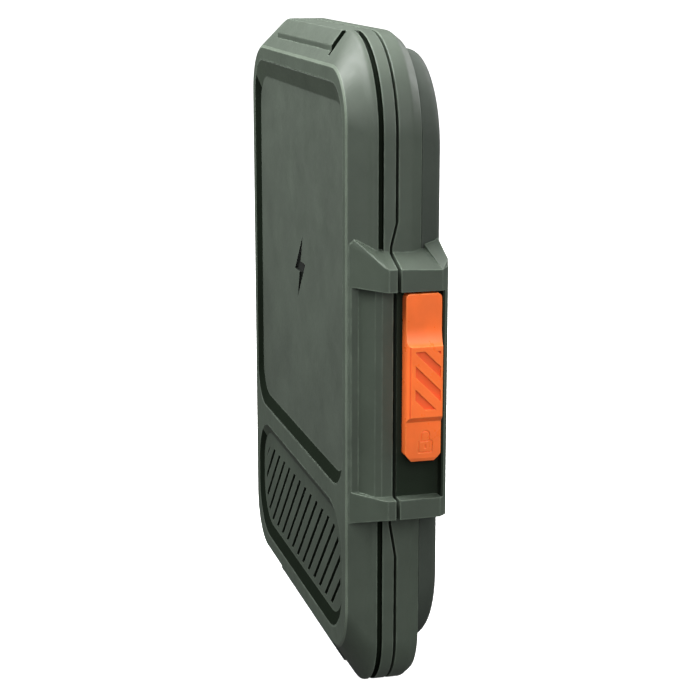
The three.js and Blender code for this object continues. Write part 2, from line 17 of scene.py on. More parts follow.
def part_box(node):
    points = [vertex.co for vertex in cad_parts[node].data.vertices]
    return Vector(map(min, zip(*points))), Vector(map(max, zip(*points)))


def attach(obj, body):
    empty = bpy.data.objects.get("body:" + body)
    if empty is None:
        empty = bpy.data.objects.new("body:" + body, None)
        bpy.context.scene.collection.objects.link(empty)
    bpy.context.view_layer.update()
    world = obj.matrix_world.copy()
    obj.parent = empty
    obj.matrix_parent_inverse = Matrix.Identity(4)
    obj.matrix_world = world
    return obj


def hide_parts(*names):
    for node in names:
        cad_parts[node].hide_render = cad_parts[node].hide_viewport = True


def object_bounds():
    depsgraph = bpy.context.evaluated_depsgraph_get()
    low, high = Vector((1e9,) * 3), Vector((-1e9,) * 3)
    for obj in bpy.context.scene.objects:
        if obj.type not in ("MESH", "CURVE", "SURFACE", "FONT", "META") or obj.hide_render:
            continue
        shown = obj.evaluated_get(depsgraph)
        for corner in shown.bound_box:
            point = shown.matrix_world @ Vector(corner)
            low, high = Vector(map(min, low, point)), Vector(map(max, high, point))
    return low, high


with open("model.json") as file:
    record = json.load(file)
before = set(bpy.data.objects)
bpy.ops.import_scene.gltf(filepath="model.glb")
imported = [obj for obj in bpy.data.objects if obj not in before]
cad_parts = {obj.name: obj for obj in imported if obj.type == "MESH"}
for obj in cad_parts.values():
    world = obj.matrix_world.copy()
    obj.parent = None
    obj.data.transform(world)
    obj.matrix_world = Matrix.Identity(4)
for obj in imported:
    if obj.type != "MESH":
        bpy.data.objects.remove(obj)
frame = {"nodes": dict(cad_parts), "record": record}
CAD_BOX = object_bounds()
random.seed(7)

# ---- Driving dimensions, millimetres ----------------------------------------------------------------

MM = 0.001
PAD_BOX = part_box("rear_pad")
CASE_X = (PAD_BOX[0].x + PAD_BOX[1].x) / 2
HEIGHT = CAD_BOX[1].z / MM
SKIN = 0.01  # the outside stays this far inside the CAD's box
FRONT_Y = CAD_BOX[0].y / MM + SKIN
BACK_Y = CAD_BOX[1].y / MM - SKIN
LOCK_REACH = (CAD_BOX[1].x - CASE_X) / MM - SKIN
CORNER_STEPS = 16
CORNER = {"low": 9.0, "high": 14.0}  # radii of the case's lower and upper corners
HALF_SEAM = 0.2
GAP = 0.3  # between neighbouring pieces
HOUSING_SEAM_Y = -1.0  # where the seam runs through the lock housing
STEP_Y = -0.85  # how far the seam steps towards the lid there
SIDE = 32.4
FLOOR_Y = (2.85, 3.85)
GROOVE = {"y": (-2.7, -1.95), "depth": 0.9}
TAB_HALF = 17.5
TAB_SLOT = 0.8
POCKET_GAP = 0.02
CURVE_STEPS = 4  # steps across a softened corner
MERGE = 0.003  # vertices closer than this become one

PANEL = {"half": 29.25, "low": 31.15, "high": 90.6, "radii": (6.0, 6.0)}
PANEL_FLOOR = {"half": 27.9, "low": 33.05, "high": 87.75, "radii": (5.0, 5.0)}
GRIP = {"half": 28.85, "low": 8.0, "high": 28.15, "radii": (8.0, 8.0)}
GRIP_FLOOR = {"half": 27.2, "low": 10.2, "high": 26.6, "radii": (6.5, 6.5)}
PANEL_FLOOR_Y = -6.35
GRIP_FLOOR_Y = -6.55
RIB = {"pitch": 3.755, "width": 0.8, "first": -22.8, "count": 18, "low": 11.0, "high": 24.3, "depth": 0.4}

HINGE_X = -33.2
KNUCKLE = {"outer": 1.89, "bore": 1.1, "relief": 2.2, "first": 24.2, "pitch": 10.0, "count": 5}
LOCK_FACE_X = 36.9
CHANNEL_Z = (32.0, 62.3)
CHANNEL_FLOOR_X = 34.8
SLIDER = {"y": (0.05, 5.3), "z": (37.6, 62.0), "base": 35.1}
LOCK_TRAVEL = 5.5
LEG_Y = (1.4, 2.3)
LEGS_Z = ((53.0, 55.5), (46.0, 48.5))
HOOK_ARMS_Z = (55.8, 42.8)
CELL = {"x": (-27.0, 25.2), "z": (26.0, 92.0)}
RING = {"z": 52.0, "outer": 28.0, "inner": 27.4}  # mark on the back pad, over the magnets
BAR_Z = 16.2  # middle of the mark below the ring


# ---- Solids -----------------------------------------------------------------------------------------

def solid(vertices, faces):
    """A closed mesh object in case millimetres."""
    mesh = bpy.data.meshes.new("solid")
    mesh.from_pydata(vertices, [], faces)
    made = bpy.data.objects.new("solid", mesh)
    bpy.context.scene.collection.objects.link(made)
    return made


def edit(made, work):
    """Runs work(bm) on an object's mesh."""
    bm = bmesh.new()
    bm.from_mesh(made.data)
    work(bm)
    bm.to_mesh(made.data)
    bm.free()
    return made


def box(x, y, z):
    """A block between two values on each axis."""
    corners = [(a, b, c) for a in x for b in y for c in z]
    faces = [(0, 1, 3, 2), (4, 6, 7, 5), (0, 4, 5, 1), (2, 3, 7, 6), (0, 2, 6, 4), (1, 5, 7, 3)]
    return solid(corners, faces)


def hull(points):
    """The convex solid round some points."""
    def work(bm):
        found = bmesh.ops.convex_hull(bm, input=[bm.verts.new(p) for p in points])
        bmesh.ops.delete(bm, geom=list(set(found["geom_interior"])), context="VERTS")
        bmesh.ops.dissolve_limit(bm, angle_limit=math.radians(0.5), verts=bm.verts, edges=bm.edges)
        bmesh.ops.recalc_face_normals(bm, faces=bm.faces)

    return edit(solid([], []), work)


def rounded(cx, cy, width, height, radius, steps=6, low_radius=None):
    """Outline of a rectangle with round corners, anticlockwise."""
    low = radius if low_radius is None else low_radius
    made = []
    for quarter, (sx, sy, r) in enumerate(((1, 1, radius), (-1, 1, radius), (-1, -1, low), (1, -1, low))):
        for i in range(steps + 1):
            angle = (quarter + i / steps) * math.pi / 2
            x = cx + sx * (width / 2 - r) + r * math.cos(angle)
            y = cy + sy * (height / 2 - r) + r * math.sin(angle)
            made.append((x, y))
    return made


def circle(radius, cx=0.0, cy=0.0, steps=48):
    angles = [2 * math.pi * i / steps for i in range(steps)]
    return [(cx + radius * math.cos(a), cy + radius * math.sin(a)) for a in angles]


def loft_rings(rings):
    """A closed solid through rings of equally many points, with a flat cap at each end."""
    count = len(rings[0])
    faces = [tuple(range(count))[::-1], tuple(range((len(rings) - 1) * count, len(rings) * count))]
    for ring in range(len(rings) - 1):
        for i in range(count):
            a, b = ring * count + i, ring * count + (i + 1) % count
            faces.append((a, b, b + count, a + count))
    made = solid([p for ring in rings for p in ring], faces)
    return edit(made, lambda bm: bmesh.ops.recalc_face_normals(bm, faces=bm.faces))


def prism(axis, outline, span, hole=None):
    """A straight prism along an axis. Its outline is in the other two axes, in X, Y, Z order."""
    place = {
        "x": lambda u, v, w: (w, u, v),
        "y": lambda u, v, w: (u, w, v),
        "z": lambda u, v, w: (u, v, w),
    }[axis]
    made = loft_rings([[place(u, v, w) for u, v in outline] for w in span])
    if hole:
        reach = span[1] - span[0]
        made = cut(made, prism(axis, hole, (span[0] - reach, span[1] + reach)))
    return made


def section(y, half, low, high, radii, soft=0.0):
    """One rounded rectangle of a loft. Soft is how far the corner of the profile there is rounded."""
    return (y, half, low, high, *radii, soft)


def framed(y, rectangle, by=0.0, soft=0.0):
    """A section with the outline of a named rectangle, grown by a distance."""
    radii = [radius + by for radius in rectangle["radii"]]
    return section(y, rectangle["half"] + by, rectangle["low"] - by, rectangle["high"] + by, radii, soft)


def softened(sections, steps):
    """The sections with each soft corner replaced by a short curve."""
    made = [sections[0]]
    for before, here, after in zip(sections, sections[1:], sections[2:]):
        if not here[-1]:
            made.append(here)
            continue
        start = toward(here, before, here[-1])
        end = toward(here, after, here[-1])
        for i in range(steps + 1):
            t = i / steps
            weights = ((1 - t) ** 2, 2 * t * (1 - t), t * t)
            blend = [sum(w * v for w, v in zip(weights, values)) for values in zip(start, here, end)]
            made.append(tuple(blend))
    return [*made, sections[-1]]


def toward(here, other, reach):
    """The section that lies reach along the way to another, at most nearly half of it."""
    distance = math.dist(here[:3], other[:3])
    share = min(0.48, reach / distance)
    return tuple(a + (b - a) * share for a, b in zip(here, other))


def loft(sections, steps=CURVE_STEPS):
    """A solid through rounded rectangles that stand in XZ planes, front to back."""
    rings = []
    for y, half, low, high, lower, upper, _ in softened(sections, steps):
        outline = rounded(0, (low + high) / 2, 2 * half, high - low, upper, CORNER_STEPS, lower)
        rings.append([(x, y, z) for x, z in outline])
    return loft_rings(rings)


def baked(made):
    """Applies an object's modifiers."""
    bpy.context.view_layer.update()
    done = made.evaluated_get(bpy.context.evaluated_depsgraph_get())
    mesh = bpy.data.meshes.new_from_object(done)
    made.modifiers.clear()
    made.data = mesh
    return made


def boolean(target, tools, operation):
    """Applies a boolean with each tool in turn, and removes the tools."""
    for tool in tools:
        modifier = target.modifiers.new("boolean", "BOOLEAN")
        modifier.operation = operation
        modifier.solver = "MANIFOLD"
        modifier.object = tool
    baked(target)
    for tool in tools:
        bpy.data.objects.remove(tool)
    return target


def cut(target, *tools):
    return boolean(target, tools, "DIFFERENCE")


def join(target, *tools):
    return boolean(target, tools, "UNION")


def common(target, *tools):
    return boolean(target, tools, "INTERSECT")


def cleaned(made):
    """Merges stray vertices and the triangles of each flat face."""

    def work(bm):
        bmesh.ops.remove_doubles(bm, verts=bm.verts, dist=MERGE)
        bmesh.ops.dissolve_degenerate(bm, edges=bm.edges, dist=MERGE)
        bmesh.ops.dissolve_limit(bm, angle_limit=math.radians(0.4), verts=bm.verts, edges=bm.edges)

    return edit(made, work)


def bevelled(made, width, segments=3, angle=28.0):
    """Rounds each edge that is sharper than the angle."""
    cleaned(made)
    modifier = made.modifiers.new("bevel", "BEVEL")
    modifier.width = width
    modifier.segments = segments
    modifier.limit_method = "ANGLE"
    modifier.angle_limit = math.radians(angle)
    modifier.use_clamp_overlap = True
    modifier.miter_outer = "MITER_ARC"
    return baked(made)


# ---- The case ---------------------------------------------------------------------------------------

def rim(y, half, inset=0.0, soft=0.0):
    """A section of the case's side wall, pulled in by an inset."""
    radii = (CORNER["low"] - inset, CORNER["high"] - inset)
    return section(y, half, inset, HEIGHT - inset, radii, soft)


def lid_blank():
    """The lid's outside, from its face to the seam, with the shadow groove."""
    front, back = GROOVE["y"]
    depth = GROOVE["depth"]
    made = loft([
        section(FRONT_Y, 30.2, 6.5, 91.9, (7.2, 7.2)),
        section(FRONT_Y, 30.7, 5.85, 92.55, (7.7, 7.7), 0.03),
        section(-6.9, 31.0, 5.45, 92.95, (8.0, 8.0), 0.03),
        section(-4.15, 31.9, 1.15, 96.65, (9.0, 13.0), 0.7),
        rim(-3.4, 32.3, 0.0, 0.45),
        rim(front, 32.32, 0.0, 0.1),
        rim(front, SIDE - depth, depth, 0.05),
        rim(back, SIDE - depth, depth, 0.05),
        rim(back, 32.34, 0.0, 0.1),
        rim(-HALF_SEAM, 32.38, 0.0, 0.12),
        rim(-HALF_SEAM, 31.8, 0.6),
    ])
    half = TAB_HALF + 1.5
    ends = ((SKIN, 1.5), (HEIGHT - 1.5, HEIGHT - SKIN))
    fillers = [box((-half, half), (front - 0.02, back + 0.02), z) for z in ends]
    return join(made, *fillers)


def tray_blank():
    """The rear shell's outside, from the seam to its back face."""
    return loft([
        rim(HALF_SEAM, 31.8, 0.6),
        rim(HALF_SEAM, 32.38, 0.0, 0.12),
        rim(2.3, SIDE, 0.0, 0.3),
        section(FLOOR_Y[1], 31.5, 0.8, 96.3, (8.7, 13.5), 0.2),
        section(FLOOR_Y[1], 30.5, 2.2, 95.3, (8.5, 12.5)),
    ])


def bay():
    """The hollow inside both shells."""
    return loft([
        section(-5.0, 28.0, 5.4, 92.2, (7.1, 8.1)),
        section(-5.0, 28.9, 4.5, 93.1, (8.0, 9.0), 0.4),
        section(-2.5, 29.9, 2.6, 95.0, (8.5, 11.5), 0.6),
        section(FLOOR_Y[0], 30.0, 2.3, 95.1, (9.0, 12.0), 0.4),
        section(FLOOR_Y[0], 29.0, 3.3, 94.1, (8.0, 11.0)),
    ])


END_TABS = (
    {
        "raised": [(-5.75, 94), (-5.75, 95.3), (-4.1, HEIGHT - SKIN), (-3, HEIGHT - SKIN), (-3, 94)],
        "slot": [(-6.6, 94.4), (-4.6, 98.6), (-3.6, 98.6), (-3.6, 96.2), (-5.6, 93.2)],
    },
    {
        "raised": [(-5.9, 4.5), (-5.9, 3.45), (-3.8, SKIN), (-3, SKIN), (-3, 4.5)],
        "slot": [(-6.6, 3.9), (-4.6, -1), (-3.6, -1), (-3.6, 1.3), (-5.7, 4.6)],
    },
)


def lock_housing():
    """The block on the lock side that holds the slider, with a ramp towards the lid's face."""
    block = hull([
        (LOCK_FACE_X, -2.4, 29.1), (LOCK_FACE_X, 5.4, 29.1), (35.9, 6.5, 29.1),
        (LOCK_FACE_X, -2.4, 65.6), (LOCK_FACE_X, 5.4, 65.3), (35.9, 6.5, 65.7),
        (30.9, -2.4, 27.6), (30.9, 6.5, 27.6), (30.9, -2.4, 67.9), (30.9, 6.5, 67.6),
    ])
    ramp = hull([
        (LOCK_FACE_X, -2.4, 29.1), (LOCK_FACE_X, -2.4, 65.6), (36.4, -3.0, 29.0), (36.4, -3.0, 65.9),
        (31.1, -6.75, 27.2), (31.1, -6.75, 68.3), (31.5, -6.1, 69.2), (30.9, -2.4, 27.6), (30.9, -2.4, 67.9),
    ])
    gusset = hull([
        (35.7, 6.5, 66.6), (LOCK_FACE_X, 5.4, 65.3), (30.9, 6.5, 68.8), (30.9, 4.2, 68.3),
        (35.9, 6.5, 60), (LOCK_FACE_X, 5.4, 60), (30.9, 6.5, 60), (30.9, 4.2, 60),
    ])
    channel = prism(
        "z",
        [
            (31.5, -8), (31.5, -5.4), (34.3, -3.7), (CHANNEL_FLOOR_X, -2.8), (CHANNEL_FLOOR_X, 5.6),
            (36.45, 5.6), (36.45, 8), (40, 8), (40, -8),
        ],
        CHANNEL_Z,
    )
    made = cut(join(block, ramp, gusset), channel)
    return bevelled(made, 0.45, 3)


def lock_slit():
    """Cutter for the slit that the slider's legs run in."""
    slit_z = (LEGS_Z[1][0] - LOCK_TRAVEL - GAP, HOOK_ARMS_Z[0])
    return box((28, 36), (LEG_Y[0] - GAP, LEG_Y[1] + GAP), slit_z)


def across_seam(side):
    """What the rear shell takes beyond the seam: a step at the lock housing and the socket panel."""
    edge = side * HALF_SEAM
    step = prism(
        "x",
        [(1, 74.5), (edge, 71.5), (edge + STEP_Y, 68), (edge + STEP_Y, 27), (edge, 22), (1, 19)],
        (29.5, 40),
    )
    half = TAB_HALF + (0.15 if side < 0 else 0)
    low_y = -2.4 - (0.15 if side < 0 else 0)
    return join(step, box((-half, half), (low_y, 1), (-1, 3.5)))


def knuckle_spans(parity):
    """Lower and upper end of every other hinge barrel."""
    spans = []
    for k in range(KNUCKLE["count"]):
        low = KNUCKLE["first"] + k * KNUCKLE["pitch"]
        if k % 2 == parity:
            spans.append((low, low + KNUCKLE["pitch"] - GAP))
    return spans


def barrels(parity, side):
    """Hinge barrels that belong to one shell, each with an arm to its side wall."""
    made = []
    for low, high in knuckle_spans(parity):
        arm = [(-31.7, side * 0.25), (-32.2, side * 2.9)]
        points = [*circle(KNUCKLE["outer"], HINGE_X, 0, 40), *arm]
        made.append(bevelled(hull([(x, y, z) for z in (low, high) for x, y in points]), 0.2, 2, 60))
    return made


def relief(parity):
    """Cutters that make room for the other shell's barrels."""
    return [
        prism("z", circle(KNUCKLE["relief"], HINGE_X, 0, 40), (low - GAP, high + GAP))
        for low, high in knuckle_spans(parity)
    ]


def hinge_bore():
    return prism("z", circle(KNUCKLE["bore"], HINGE_X, 0, 32), (20, 80))


def inlay_pocket(rectangle):
    """Cutter for an inlay's pocket, which the inlay fills flush."""
    return loft([
        framed(-8.0, rectangle, POCKET_GAP),
        framed(-5.65, rectangle, POCKET_GAP),
    ])


def front_cover():
    """The lid: shell, lock housing, end tabs, inlay pockets, catches and hinge barrels."""
    housing_half = box((20, 50), (-20, HOUSING_SEAM_Y - HALF_SEAM), (20, 80))
    housing = common(lock_housing(), housing_half)
    raised = [bevelled(prism("x", tab["raised"], (-TAB_HALF, TAB_HALF)), 0.12, 2) for tab in END_TABS]
    slots = [prism("x", tab["slot"], (TAB_HALF, TAB_HALF + TAB_SLOT)) for tab in END_TABS]
    made = join(lid_blank(), housing, *raised)
    made = cut(made, *slots, bay(), lock_slit())
    made = cut(made, across_seam(-1), inlay_pocket(PANEL), inlay_pocket(GRIP), *relief(1))
    catches = []
    for arm in HOOK_ARMS_Z:
        top = arm - LOCK_TRAVEL - GAP
        catches.append(box((27.6, 30.3), (-2.2, -1.3), (top - 4, top)))
    return cleaned(cut(join(made, *catches, *barrels(0, -1)), hinge_bore()))


def socket_hole(x, y, width, height):
    """Cutter for an opening in the bottom end, flared at its mouth."""
    flare = 0.35
    z = (-1, 0.0, 0.3, 3.4)
    grow = (flare + 0.5, flare, 0.0, 0.0)
    rings = [
        [(u, v, level) for u, v in rounded(x, y, width + 2 * g, height + 2 * g, height / 2 + g - 0.01, 10)]
        for level, g in zip(z, grow)
    ]
    return loft_rings(rings)


PORT = {"x": 0.0, "y": 0.75, "width": 9.3, "height": 3.6}
BUTTON = {"x": 12.0, "y": 0.75, "width": 5.4, "height": 2.2}
LIGHT = {"x": -12.0, "y": 0.75, "width": 6.4, "height": 1.3}


def rear_shell():
    """The tray: shell, lock housing, bottom panel with its openings, bosses and hinge barrels."""
    housing = cut(lock_housing(), box((20, 50), (-20, HOUSING_SEAM_Y + HALF_SEAM), (20, 80)))
    step_back = STEP_Y + HALF_SEAM
    step_trim = prism("x", [(-20, 10), (step_back, 10), (step_back, 90), (-20, 90)], (20, 50))
    housing = cut(housing, step_trim)
    pad_clearance = loft([
        section(FLOOR_Y[1], 31.5, 3.8, 95.3, (12.8, 12.8)),
        section(5.9, 31.2, 4.3, 95.0, (12.9, 12.8)),
        section(8.0, 29.9, 5.8, 93.6, (12.3, 12.3)),
    ])
    step = common(across_seam(1), loft([rim(-3.0, 32.36, SKIN), rim(1.5, 32.38, SKIN)]))
    made = join(tray_blank(), step, housing)
    made = cut(made, bay(), lock_slit(), pad_clearance, *relief(0))
    made = cut(made, box((34.0, 35), (3.5, 4.9), (45.5, 57.5)))
    made = join(made, *barrels(1, 1))
    bosses = [prism("y", circle(2, x, 12, 32), (2.4, 3.4)) for x in (-21.5, 21.5)]
    holes = [socket_hole(**hole) for hole in (PORT, BUTTON, LIGHT)]
    return cleaned(cut(join(made, *bosses), hinge_bore(), *holes))


def rear_pad():
    """Soft back pad with crowned edges and a shallow ring that shows where the magnets are."""
    made = loft([
        section(FLOOR_Y[1] + 0.1, 30.5, 4.8, 94.3, (11.8, 11.8)),
        section(FLOOR_Y[1] + 0.1, 31.2, 4.1, 95.0, (12.5, 12.5), 0.2),
        section(5.9, 30.9, 4.6, 94.7, (12.6, 12.5), 0.5),
        section(6.7, 30.45, 5.2, 94.2, (12.6, 12.5), 0.5),
        section(BACK_Y, 29.6, 6.1, 93.3, (12.0, 12.0), 0.6),
        section(BACK_Y, 28.1, 7.6, 91.8, (10.5, 10.5)),
    ], 6)
    mark_y = (BACK_Y - 0.25, BACK_Y + 1)
    inner, outer = (circle(RING[side], 0, RING["z"], 128) for side in ("inner", "outer"))
    ring = prism("y", outer, mark_y, inner)
    bar = prism("y", rounded(0, BAR_Z, 1.2, 9.0, 0.59), mark_y)
    pockets = [
        prism("y", circle(RING["inner"], 0, RING["z"], 64), (3, 5.8)),
        prism("y", rounded(0, BAR_Z, 6.4, 13.6, 1), (3, 5.8)),
    ]
    return cleaned(cut(made, ring, bar, *pockets))


# ---- Inlays -----------------------------------------------------------------------------------------

def inlay(outer, floor, floor_y):
    """A plate that fills its pocket in the lid and dips from a narrow rim to a lower floor."""
    plate = loft([
        framed(FRONT_Y, outer),
        framed(-5.95, outer),
    ])
    dish = loft([
        framed(-7.6, outer, 0.1),
        framed(FRONT_Y, outer, -0.08, 0.1),
        framed(floor_y, floor, 0.0, 0.12),
        framed(floor_y, floor, -1.5),
    ], 5)
    return cut(plate, dish)


def bolt_mark():
    """Cutter for a plain lightning bolt."""
    outline = [(1.6, 64.8), (-3.6, 58.9), (-0.5, 58.9), (-1.8, 54.6), (3.4, 60.6), (0.3, 60.6)]
    return prism("y", outline, (PANEL_FLOOR_Y - 1, PANEL_FLOOR_Y + 0.28))


def grip_grooves():
    """Diagonal grooves, kept clear of the floor's edge."""
    reach = (RIB["high"] - RIB["low"]) / 2 + 2
    across = RIB["width"] / math.sqrt(2) / 2
    z = (RIB["low"] + RIB["high"]) / 2
    bars = []
    for k in range(RIB["count"]):
        x = RIB["first"] + k * RIB["pitch"] - (RIB["high"] - RIB["low"]) / 2
        outline = [
            (x - reach - across, z - reach + across), (x - reach + across, z - reach - across),
            (x + reach + across, z + reach - across), (x + reach - across, z + reach + across),
        ]
        bars.append(prism("y", outline, (GRIP_FLOOR_Y - 1, GRIP_FLOOR_Y + RIB["depth"])))
    field = {"half": 25.6, "low": RIB["low"], "high": RIB["high"], "radii": (5.0, 5.0)}
    return common(join(*bars), loft([framed(GRIP_FLOOR_Y - 2, field), framed(GRIP_FLOOR_Y + 1, field)]))


# ---- Lock -------------------------------------------------------------------------------------------

def lock_slider():
    """Slider with a raised thumb ridge, and two legs with barbs."""
    (y0, y1), (z0, z1), base = SLIDER["y"], SLIDER["z"], SLIDER["base"]
    ramp = [(LOCK_REACH - 0.95 * math.sin(a), 57.3 - 2.7 * math.cos(a)) for a in quarter(0, 10)]
    profile = [
        (base, z0), (36.75, z0), (36.95, 38.1), (36.95, 43.5), (LOCK_REACH, 44.35),
        *ramp, (36.95, z1), (base, z1),
    ]
    body = bevelled(prism("y", profile, (y0 - 1, y1 + 1)), 0.25, 3, 20)
    plan = [
        (y0, 38.7), (y0 + 0.95, z0), (y1 - 0.95, z0), (y1, 38.7),
        *[(y1 - 0.7 + 0.7 * math.cos(a), z1 - 0.7 + 0.7 * math.sin(a)) for a in quarter(0)],
        *[(y0 + 0.7 + 0.7 * math.cos(a), z1 - 0.7 + 0.7 * math.sin(a)) for a in quarter(1)],
    ]
    left = [(37.0 + 0.95 * math.sin(a), y0 + 1.05 - math.cos(a)) for a in quarter(0)]
    end = [(34, y0), (36.7, y0), *left, (38.1, 1.25), (38.1, y1 - 0.1), (37.2, y1), (34, y1)]
    made = common(body, prism("x", plan, (30, 40)), prism("z", end, (30, 70)))
    made = bevelled(made, 0.22, 3, 30)
    legs = []
    for i, (low, high) in enumerate(LEGS_Z):
        barb = (low, high + 0.9) if i == 0 else (low - 0.9, high)
        legs += [box((27.2, base + 0.2), LEG_Y, (low, high)), box((27.2, 27.9), LEG_Y, barb)]
    return cleaned(join(cut(made, hatch_marks(), padlock_mark()), *legs))


def quarter(index, steps=6):
    """Angles of one quarter of a turn."""
    return [(index + i / steps) * math.pi / 2 for i in range(steps + 1)]


def hatch_marks():
    """Diagonal grooves in the thumb ridge."""
    pitch = 3.4
    bars = []
    for k in range(4):
        top = 57.3 - pitch * k
        outline = [(1, top), (6, top - 5), (6, top - 3.4), (1, top + 1.6)]
        bars.append(prism("x", outline, (LOCK_REACH - 0.32, 39)))
    return common(join(*bars), box((37, 40), (1.2, 4.95), (45.4, 53.9)))


def padlock_mark():
    """A padlock's outline, cut into the slider's lower flat."""
    depth = (36.78, 39)
    body = prism("x", rounded(3, 39.8, 2.2, 1.9, 0.25), depth, rounded(3, 39.8, 1.75, 1.45, 0.15))
    shackle = prism("x", rounded(3, 41, 1.4, 2.4, 0.65), depth, rounded(3, 41, 0.95, 1.95, 0.45))
    keyhole = prism("x", rounded(3, 39.8, 0.3, 0.7, 0.14), depth)
    return join(body, common(shackle, box((36, 40), (0, 6), (40.7, 43))), keyhole)


# ---- Battery and foam -------------------------------------------------------------------------------

def cushion(x, z, levels, radius):
    """A slab with round corners whose outline shrinks at each level by its inset."""
    centre = (sum(x) / 2, sum(z) / 2)
    size = (x[1] - x[0], z[1] - z[0])
    rings = []
    for y, inset in levels:
        outline = rounded(*centre, size[0] - 2 * inset, size[1] - 2 * inset, radius - inset / 2, 8)
        rings.append([(u, y, v) for u, v in outline])
    return loft_rings(rings)


def battery_pouch():
    """Foil pouch with soft shoulders and a folded seam along both long sides."""
    levels = (
        (-3.85, 2.0), (-3.78, 1.0), (-3.45, 0.35), (-2.8, 0.1),
        (1.3, 0.1), (1.95, 0.35), (2.33, 1.0), (2.4, 2.0),
    )
    fold_levels = ((-2.6, 0.15), (-2.45, 0), (0.9, 0), (1.05, 0.15))
    body = cushion(CELL["x"], CELL["z"], levels, 2.5)
    folds = []
    for side in (0, 1):
        edge = CELL["x"][side]
        inner = edge + (1.3 if side == 0 else -1.3)
        folds.append(cushion(sorted((edge, inner)), (29, 89), fold_levels, 0.5))
    return join(body, *folds)


def pouch_tape():
    """Insulating tape folded over the battery's lower end."""
    outline = [(-3.9, 25.95), (-3.9, 33), (-3.82, 33), (-3.82, 26.03), (2.3, 26.03), (2.3, 25.95)]
    return prism("x", outline, (-16, 14))


def board_parts():
    """Small resistors and capacitors on the main board, in rows beside the larger parts."""
    made = []
    pitch, width = 1.7, 0.6
    on_board_y = (0.75, 1.32)
    rows = ((-23.4, 16.9), (17.9, 17.4), (-23.4, 7.2), (17.9, 7.2), (-23.4, 8.9))
    for start, z in rows:
        for k in range(4):
            x = start + pitch * k
            length = random.uniform(0.8, 1.1)
            made.append(bevelled(box((x, x + length), on_board_y, (z, z + width)), 0.06, 1))
    return join(*made)


def foam_pad():
    """Thin foam that presses the battery when the lid is shut."""
    levels = ((-4.7, 0.3), (-4.66, 0.05), (-4.4, 0.0), (-4.25, 0.35), (-4.2, 1.2))
    return cushion((-23, 21), (31, 87), levels, 3.0)


# ---- Materials --------------------------------------------------------------------------------------

def srgb(red, green, blue):
    """A display colour, 0 to 255, as a linear one."""
    made = []
    for value in (red, green, blue):
        share = value / 255
        made.append(share / 12.92 if share <= 0.04045 else ((share + 0.055) / 1.055) ** 2.4)
    return (*made, 1.0)


def shade(colour, by):
    """A colour made darker or lighter by a factor."""
    return (*(c * by for c in colour[:3]), 1.0)


class Look:
    """A node material: builds nodes and links in few words."""

    def __init__(self, name):
        self.material = bpy.data.materials.new(name)
        self.material.use_nodes = True
        self.tree = self.material.node_tree
        self.tree.nodes.clear()
        self.shader = self.node("ShaderNodeBsdfPrincipled")
        output = self.node("ShaderNodeOutputMaterial")
        self.link(self.shader.outputs[0], output.inputs[0])
        self.place = self.node("ShaderNodeTexCoord").outputs["Object"]

    def node(self, kind, **settings):
        made = self.tree.nodes.new(kind)
        for key, value in settings.items():
            setattr(made, key, value)
        return made

    def link(self, start, end):
        self.tree.links.new(start, end)

    def noise(self, size_mm, detail=3.0, rough=0.55, stretch=(1, 1, 1)):
        """Noise with features of about this size."""
        mapping = self.node("ShaderNodeMapping")
        mapping.inputs["Scale"].default_value = stretch
        self.link(self.place, mapping.inputs["Vector"])
        made = self.node("ShaderNodeTexNoise")
        made.inputs["Scale"].default_value = 1 / (size_mm * MM)
        made.inputs["Detail"].default_value = detail
        made.inputs["Roughness"].default_value = rough
        self.link(mapping.outputs[0], made.inputs["Vector"])
        return made.outputs["Fac"]

    def cells(self, size_mm):
        """Soft-edged cells of about this size."""
        made = self.node("ShaderNodeTexVoronoi", feature="SMOOTH_F1")
        made.inputs["Scale"].default_value = 1 / (size_mm * MM)
        made.inputs["Smoothness"].default_value = 0.6
        self.link(self.place, made.inputs["Vector"])
        return made.outputs["Distance"]

    def span(self, value, low, high, to_low, to_high):
        """Maps a value from one range to another."""
        made = self.node("ShaderNodeMapRange")
        for socket, number in zip(made.inputs[1:5], (low, high, to_low, to_high)):
            socket.default_value = number
        self.link(value, made.inputs[0])
        return made.outputs[0]

    def mix(self, share, first, second):
        made = self.node("ShaderNodeMix", data_type="RGBA")
        self.feed(share, made.inputs[0])
        self.feed(first, made.inputs[6])
        self.feed(second, made.inputs[7])
        return made.outputs[2]

    def maths(self, operation, first, second):
        made = self.node("ShaderNodeMath", operation=operation)
        self.feed(first, made.inputs[0])
        self.feed(second, made.inputs[1])
        return made.outputs[0]

    def feed(self, value, socket):
        if isinstance(value, bpy.types.NodeSocket):
            self.link(value, socket)
        else:
            socket.default_value = value

    def edges(self, radius_mm):
        """Near 1 on an edge, and 0 on a flat."""
        bevel = self.node("ShaderNodeBevel", samples=4)
        bevel.inputs["Radius"].default_value = radius_mm * MM
        geometry = self.node("ShaderNodeNewGeometry")
        dot = self.node("ShaderNodeVectorMath", operation="DOT_PRODUCT")
        self.link(bevel.outputs[0], dot.inputs[0])
        self.link(geometry.outputs["Normal"], dot.inputs[1])
        return self.span(dot.outputs["Value"], 0.998, 0.93, 0.0, 1.0)

    def bump(self, *layers):
        """Stacks bumps, each a height and its depth in millimetres, on a slightly rounded normal."""
        bevel = self.node("ShaderNodeBevel", samples=4)
        bevel.inputs["Radius"].default_value = 0.12 * MM
        normal = bevel.outputs[0]
        for height, depth in layers:
            made = self.node("ShaderNodeBump")
            made.inputs["Distance"].default_value = depth * MM
            self.link(height, made.inputs["Height"])
            self.link(normal, made.inputs["Normal"])
            normal = made.outputs[0]
        self.link(normal, self.shader.inputs["Normal"])


